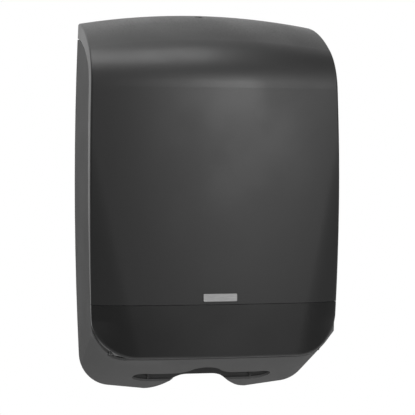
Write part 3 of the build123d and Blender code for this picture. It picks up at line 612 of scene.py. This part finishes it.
lifted = add_node(screw_tree, "GeometryNodeTransform", [
    ("Geometry", slots.outputs[0]), ("Translation", vector(screw_tree, 0.0, 0.0, head_height)),
])
cut = add_node(
    screw_tree, "GeometryNodeMeshBoolean", [("Mesh 1", pan.outputs[0]), ("Self Intersection", True)],
    operation="DIFFERENCE", solver="EXACT",
)
screw_tree.links.new(lifted.outputs[0], cut.inputs["Mesh 2"])
print("head of", len(screw_tree.nodes), "nodes")

# %% [markdown]
# Below the head, a screw that forms its own thread has a thinner core with a point, and a ridge that winds
# around it. The ridge could be drawn turn by turn. A spiral curve with a small round section needs only the
# pitch.

# %% The shank and the thread
shank_length = entry.outputs["Shank length"]
core_radius = maths(screw_tree, "MULTIPLY", entry.outputs["Shank radius"], 0.78)
point_length = maths(screw_tree, "MULTIPLY", entry.outputs["Shank radius"], 1.4)
core_length = maths(screw_tree, "SUBTRACT", shank_length, point_length)
core = add_node(screw_tree, "GeometryNodeMeshCone", [
    ("Vertices", 24), ("Radius Top", core_radius), ("Radius Bottom", core_radius), ("Depth", core_length),
])
core = add_node(screw_tree, "GeometryNodeTransform", [
    ("Geometry", core.outputs["Mesh"]),
    ("Translation", vector(screw_tree, 0.0, 0.0, maths(screw_tree, "MULTIPLY", core_length, -1.0))),
])
tip = add_node(screw_tree, "GeometryNodeMeshCone", [
    ("Vertices", 24), ("Radius Top", core_radius), ("Radius Bottom", 0.05 * MM), ("Depth", point_length),
])
tip = add_node(screw_tree, "GeometryNodeTransform", [
    ("Geometry", tip.outputs["Mesh"]),
    ("Translation", vector(screw_tree, 0.0, 0.0, maths(screw_tree, "MULTIPLY", shank_length, -1.0))),
])
crest = maths(screw_tree, "SUBTRACT", entry.outputs["Shank radius"], core_radius)
path = add_node(screw_tree, "GeometryNodeCurveSpiral", [
    ("Resolution", 24),
    ("Rotations", maths(screw_tree, "DIVIDE", core_length, entry.outputs["Thread pitch"])),
    ("Start Radius", core_radius), ("End Radius", core_radius), ("Height", core_length),
])
path = add_node(screw_tree, "GeometryNodeTransform", [
    ("Geometry", path.outputs["Curve"]),
    ("Translation", vector(screw_tree, 0.0, 0.0, maths(screw_tree, "MULTIPLY", core_length, -1.0))),
])
ridge = add_node(screw_tree, "GeometryNodeCurvePrimitiveCircle", [("Resolution", 6), ("Radius", crest)])
thread = add_node(screw_tree, "GeometryNodeCurveToMesh", [
    ("Curve", path.outputs[0]), ("Profile Curve", ridge.outputs["Curve"]), ("Fill Caps", True),
])
screw = add_node(screw_tree, "GeometryNodeJoinGeometry")
for part in (cut.outputs["Mesh"], core.outputs[0], tip.outputs[0], thread.outputs["Mesh"]):
    screw_tree.links.new(part, screw.inputs[0])
print("head and shank of", len(screw_tree.nodes), "nodes")

# %% [markdown]
# The screw is set on every point and turned by a seeded random angle about its own axis, because a fitter
# never leaves two crosses alike. Realize Instances makes it plain mesh, which the export needs.

# %% Setting the screws out
angle = add_node(
    screw_tree, "FunctionNodeRandomValue", [("Seed", entry.outputs["Seed"])], data_type="FLOAT"
)
angle.inputs[3].default_value = math.pi
set_out = add_node(screw_tree, "GeometryNodeInstanceOnPoints", [
    ("Points", entry.outputs["Geometry"]), ("Instance", screw.outputs[0]),
    ("Rotation", entry.outputs["Lean"]),
])
twist = add_node(screw_tree, "FunctionNodeEulerToRotation", [
    ("Euler", vector(screw_tree, 0.0, 0.0, angle.outputs[1])),
])
turned = add_node(screw_tree, "GeometryNodeRotateInstances", [
    ("Instances", set_out.outputs[0]), ("Rotation", twist.outputs[0]), ("Local Space", True),
])
real = add_node(screw_tree, "GeometryNodeRealizeInstances", [("Geometry", turned.outputs[0])])
painted = add_node(screw_tree, "GeometryNodeSetMaterial", [
    ("Geometry", real.outputs[0]), ("Material", entry.outputs["Finish"]),
])
screw_tree.links.new(painted.outputs[0], leave.inputs["Geometry"])
print("tree:", screw_tree.name, "with", len(screw_tree.nodes), "nodes")

# %% [markdown]
# Four screws hold the tray and two hold the keeper. Places, lengths and head sizes are measured on the CAD
# screws, so that they stay right when the part changes. Only the head's height and the shank are given.

# %% Tray screws and keeper screws
THREAD_PITCH, CROSS_WIDTH = 0.9 * MM, 0.75 * MM
FACING_FRONT = Euler((math.pi / 2, 0, 0))


def screws(name, axes, head_height, shank, lean, seed):
    boxes = measured_spots(name, axes)
    out = Vector((0, 0, 1))
    out.rotate(lean)
    points, sizes = [], None
    for low, high in boxes:
        middle = (low + high) / 2
        top = max((high - middle).dot(out), (low - middle).dot(out))
        points.append(middle + out * (top - head_height))
        sizes = high - low
    length = abs(sizes.dot(out))
    radius = min(sizes) / 2
    piece = grown(screw_tree, name + "_threaded", points, {
        "Head radius": radius, "Head height": head_height, "Shank radius": shank,
        "Shank length": length - head_height, "Thread pitch": THREAD_PITCH, "Cross width": CROSS_WIDTH,
        "Lean": lean, "Seed": seed, "Finish": steel,
    })
    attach(piece, "housing")
    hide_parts(name)


screws("tray_screws", (0, 1), 2.2 * MM, 1.65 * MM, Euler((0, 0, 0)), 3)
screws("keeper_screws", (0,), 1.9 * MM, 1.5 * MM, FACING_FRONT, 8)

# %% [markdown]
# Rubber is nearly black, dull, and quick to hold dust. It takes the grain of its mould as the plastics do,
# so it is made from the same groups, only rougher.

# %% Rubber
def rubber(name):
    material, tree, where, shader = new_material(name)
    grain = place_group(material, mould_grain, where, Grains_a_metre=1800.0)
    room = place_group(material, room_wear, where, Clouds_a_metre=90.0)
    colour = blend_colour(tree, room.outputs["Clouds"], srgb(26), srgb(40))
    colour = blend_colour(tree, maths(tree, "MULTIPLY", room.outputs["Dust"], 0.4), colour, srgb(140))
    tree.links.new(colour, shader.inputs["Base Color"])
    tree.links.new(spread(tree, grain.outputs["Speckle"], 0.0, 1.0, 0.85, 0.68), shader.inputs["Roughness"])
    shader.inputs["Specular IOR Level"].default_value = 0.3
    bump(tree, shader, grain.outputs["Height"], 0.04 * MM, 0.6)
    return material


buffer_rubber = rubber("Buffer_rubber")
print("finish:", buffer_rubber.name)

# %% [markdown]
# Four rubber buffers quiet the cover as it shuts. Each is a low pad with rings moulded in its face. The
# rings repeat, so a tree draws circles of growing size, gives them a round section, and sets the pads out.

# %% The tree for the buffers
buffer_tree, entry, leave = geometry_tree(
    "Buffers",
    [
        ("Pad radius", LENGTH), ("Pad height", LENGTH), ("Ring section", LENGTH),
        ("Rings", "NodeSocketInt"), ("Lean", "NodeSocketRotation"), ("Finish", "NodeSocketMaterial"),
    ],
)
section = entry.outputs["Ring section"]
pad_height = maths(buffer_tree, "SUBTRACT", entry.outputs["Pad height"], section)
skirt = maths(buffer_tree, "SUBTRACT", entry.outputs["Pad radius"], section)
pad = add_node(buffer_tree, "GeometryNodeMeshCone", [
    ("Vertices", 48), ("Radius Top", skirt), ("Radius Bottom", entry.outputs["Pad radius"]),
    ("Depth", pad_height),
])
index = add_node(buffer_tree, "GeometryNodeInputIndex")
step = maths(buffer_tree, "DIVIDE", skirt, maths(buffer_tree, "ADD", entry.outputs["Rings"], 0.5))
size = maths(buffer_tree, "MULTIPLY", step, maths(buffer_tree, "ADD", index.outputs[0], 1.0))
dots = add_node(buffer_tree, "GeometryNodeMeshLine", [
    ("Count", entry.outputs["Rings"]), ("Offset", (0.0, 0.0, 0.0)),
])
circle = add_node(buffer_tree, "GeometryNodeCurvePrimitiveCircle", [("Resolution", 40), ("Radius", 1.0)])
circles = add_node(buffer_tree, "GeometryNodeInstanceOnPoints", [
    ("Points", dots.outputs["Mesh"]), ("Instance", circle.outputs["Curve"]),
    ("Scale", vector(buffer_tree, size, size, 1.0)),
])
loose = add_node(buffer_tree, "GeometryNodeRealizeInstances", [("Geometry", circles.outputs[0])])
round_section = add_node(buffer_tree, "GeometryNodeCurvePrimitiveCircle", [
    ("Resolution", 8), ("Radius", section),
])
rings = add_node(buffer_tree, "GeometryNodeCurveToMesh", [
    ("Curve", loose.outputs[0]), ("Profile Curve", round_section.outputs["Curve"]),
])
rings = add_node(buffer_tree, "GeometryNodeTransform", [
    ("Geometry", rings.outputs[0]), ("Translation", vector(buffer_tree, 0.0, 0.0, pad_height)),
])
whole = add_node(buffer_tree, "GeometryNodeJoinGeometry")
for part in (pad.outputs["Mesh"], rings.outputs[0]):
    buffer_tree.links.new(part, whole.inputs[0])
set_out = add_node(buffer_tree, "GeometryNodeInstanceOnPoints", [
    ("Points", entry.outputs["Geometry"]), ("Instance", whole.outputs[0]),
    ("Rotation", entry.outputs["Lean"]),
])
real = add_node(buffer_tree, "GeometryNodeRealizeInstances", [("Geometry", set_out.outputs[0])])
painted = add_node(buffer_tree, "GeometryNodeSetMaterial", [
    ("Geometry", real.outputs[0]), ("Material", entry.outputs["Finish"]),
])
buffer_tree.links.new(painted.outputs[0], leave.inputs["Geometry"])
print("tree:", buffer_tree.name, "with", len(buffer_tree.nodes), "nodes")

# %% [markdown]
# The pads stand on the housing with their rings to the front, where the cover lands. Their places and sizes
# are measured on the CAD pads, as for the screws.

# %% The four buffers
boxes = measured_spots("cover_buffers", (0, 2))
feet = [Vector(((low.x + high.x) / 2, high.y, (low.z + high.z) / 2)) for low, high in boxes]
buffers = grown(buffer_tree, "cover_buffers_ringed", feet, {
    "Pad radius": (boxes[0][1].x - boxes[0][0].x) / 2, "Pad height": boxes[0][1].y - boxes[0][0].y,
    "Ring section": 0.3 * MM, "Rings": 3, "Lean": FACING_FRONT, "Finish": buffer_rubber,
})
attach(buffers, "housing")
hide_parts("cover_buffers")

# %% [markdown]
# The photograph has a clean white ground. The world is white for the camera, and dimmer for the soft light
# that reaches the plastic, so the ground is white without more light on the object. What the plastic
# mirrors is a studio: pale behind the object and dark in front of it.

# %% White ground
SOFT_ROOM = 0.62
ROOM_BEHIND = 1.0
world = bpy.data.worlds.new("White_ground")
scene.world = world
world.use_nodes = True
sky = world.node_tree
ray = sky.nodes.new("ShaderNodeLightPath")
direction = sky.nodes.new("ShaderNodeTexCoord")
heading = sky.nodes.new("ShaderNodeSeparateXYZ")
sky.links.new(direction.outputs["Generated"], heading.inputs["Vector"])
sweep = spread(sky, heading.outputs["Y"], -0.1, 0.8, 0.0, ROOM_BEHIND)
mirrored = maths(sky, "MAXIMUM", ray.outputs["Is Glossy Ray"], ray.outputs["Is Transmission Ray"])
level = sky.nodes.new("ShaderNodeMix")
sky.links.new(mirrored, level.inputs["Factor"])
level.inputs["A"].default_value = SOFT_ROOM
sky.links.new(sweep, level.inputs["B"])
ground = sky.nodes["Background"]
ground.inputs["Color"].default_value = (1.0, 1.0, 1.0, 1.0)
shown = maths(sky, "MAXIMUM", level.outputs["Result"], ray.outputs["Is Camera Ray"])
sky.links.new(shown, ground.inputs["Strength"])
print("white for the camera,", SOFT_ROOM, "for soft light")

# %% [markdown]
# A pale floor lies far below, as under a dispenser on a wall. A plane would do, but a disc ends evenly on
# all sides. From below it is clear, so that it does not hide the underside of the object.

# %% Floor
FLOOR_DROP, FLOOR_RADIUS, FLOOR_CORNERS = 0.75, 1.6, 96
floor_mesh = bpy.data.meshes.new("floor")
bearings = [number * math.tau / FLOOR_CORNERS for number in range(FLOOR_CORNERS)]
floor_mesh.from_pydata(
    [(FLOOR_RADIUS * math.cos(way), FLOOR_RADIUS * math.sin(way), -FLOOR_DROP) for way in bearings],
    [], [list(range(FLOOR_CORNERS))],
)
floor = bpy.data.objects.new("floor", floor_mesh)
scene.collection.objects.link(floor)
pale, tree, where, shader = new_material("Pale_floor")
shader.inputs["Base Color"].default_value = srgb(243)
shader.inputs["Roughness"].default_value = 0.9
back = tree.nodes.new("ShaderNodeNewGeometry")
clear = tree.nodes.new("ShaderNodeBsdfTransparent")
choose = tree.nodes.new("ShaderNodeMixShader")
tree.links.new(back.outputs["Backfacing"], choose.inputs["Fac"])
tree.links.new(shader.outputs["BSDF"], choose.inputs[1])
tree.links.new(clear.outputs["BSDF"], choose.inputs[2])
tree.links.new(choose.outputs["Shader"], tree.nodes["Material Output"].inputs["Surface"])
floor_mesh.materials.append(pale)
floor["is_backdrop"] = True
print("floor", FLOOR_DROP, "m below the middle of the wall screws")

# %% [markdown]
# The plastic in the photograph mirrors several lamps. A small soft box close overhead and one higher up in
# front light the shoulder and fade down the front. One to the upper left does the same for the side. One
# far out in front, to the right, leaves the broad pale patch on the upper right of the cover, because the
# camera stands to the left. A faint one on the far right lifts the right edge. Their strengths were fitted
# to the greys of the photograph.

# %% Soft boxes
LAMP_AIM = Vector((0.0, -0.1, 0.05))


def soft_box(name, place, width, height, watts):
    lamp = bpy.data.lights.new(name, "AREA")
    lamp.shape = "RECTANGLE"
    lamp.size, lamp.size_y = width, height
    lamp.energy = watts
    holder = bpy.data.objects.new(name, lamp)
    holder.location = place
    holder.rotation_euler = (LAMP_AIM - Vector(place)).to_track_quat("-Z", "Y").to_euler()
    scene.collection.objects.link(holder)
    print(name, "at", place, "gives", watts, "W")


soft_box("overhead_box", (0.0, -0.24, 0.58), 0.2, 0.25, 0.75)
soft_box("upper_front_box", (-0.02, -0.5, 0.9), 0.2, 0.2, 0.6)
soft_box("upper_left_box", (-0.23, -0.15, 0.45), 0.25, 0.25, 0.85)
soft_box("front_right_box", (0.47, -1.47, 0.44), 0.7, 0.4, 9.6)
soft_box("far_right_box", (1.1, -0.73, 0.64), 0.6, 0.6, 2.0)

# %% [markdown]
# The camera stands a little to the left of the object, level with its middle, and far off, so that the
# sides hardly converge. Its place was fitted to the corners and edges of the photograph.

# %% Camera
IMAGE_SIDE = 415
FOCAL_PIXELS = 1704.0
YAW, RISE = math.radians(12.45), math.radians(1.06)
DISTANCE = 1.841
target = Vector((0.01445, 0.0, -0.0063))
lens = bpy.data.cameras.new("photo_camera")
lens.sensor_width = 36.0
lens.lens = FOCAL_PIXELS * lens.sensor_width / IMAGE_SIDE
camera = bpy.data.objects.new("photo_camera", lens)
scene.collection.objects.link(camera)
camera.location = target + DISTANCE * Vector(
    (-math.sin(YAW) * math.cos(RISE), -math.cos(YAW) * math.cos(RISE), math.sin(RISE))
)
camera.rotation_euler = (target - camera.location).to_track_quat("-Z", "Y").to_euler()
scene.camera = camera
print("camera at", [round(value, 3) for value in camera.location])

# %% [markdown]
# Last, the box of the finished model is written beside the box of the bare CAD model: the dressing must
# not change the object's size.

# %% Sizes, and the end
visual_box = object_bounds()
sizes = {"cad": [list(c) for c in cad_box], "visual": [list(c) for c in visual_box]}
print(sizes)
